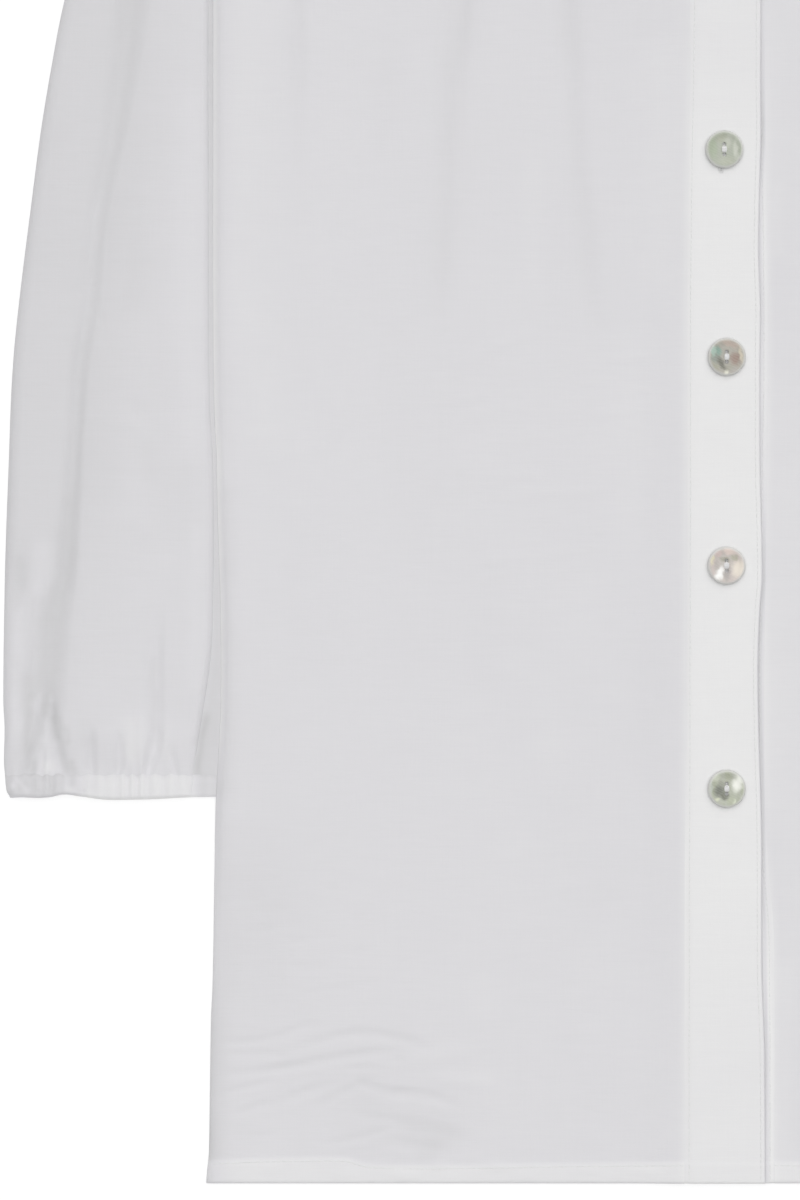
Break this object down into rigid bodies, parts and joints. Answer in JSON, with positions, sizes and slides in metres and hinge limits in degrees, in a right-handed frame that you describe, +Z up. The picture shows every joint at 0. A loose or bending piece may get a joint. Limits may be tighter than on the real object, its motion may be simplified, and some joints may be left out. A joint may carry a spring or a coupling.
{
  "type": "blouse laid flat",
  "caption": "White button-through blouse with gathered round neck and three-quarter sleeves in elastic casings, laid flat with its front up.",
  "frame": {"origin": "on the surface the blouse lies on, under the middle of its length, at the centre-front button line", "axes": "+Z up out of the front of the blouse, +Y from the hem to the neck, +X to the wearer's left"},
  "size_m": [0.659, 0.6525, 0.0073],
  "materials": {
    "cloth": "matte white plain weave",
    "doubled_cloth": "the same cloth folded double, lighter",
    "shell": "polished mother-of-pearl"
  },
  "bodies": {
    "root": {"back": "cloth", "front_right": "cloth", "front_left": "cloth", "sleeve_right": "cloth", "sleeve_left": "cloth", "placket_right": "doubled_cloth", "placket_left": "doubled_cloth", "cuff_right": "doubled_cloth", "cuff_left": "doubled_cloth", "neckband_right": "doubled_cloth", "neckband_left": "doubled_cloth", "neckband_back": "doubled_cloth", "button_1": "shell", "button_2": "shell", "button_3": "shell", "button_4": "shell", "button_5": "shell"}
  },
  "joints": []
}
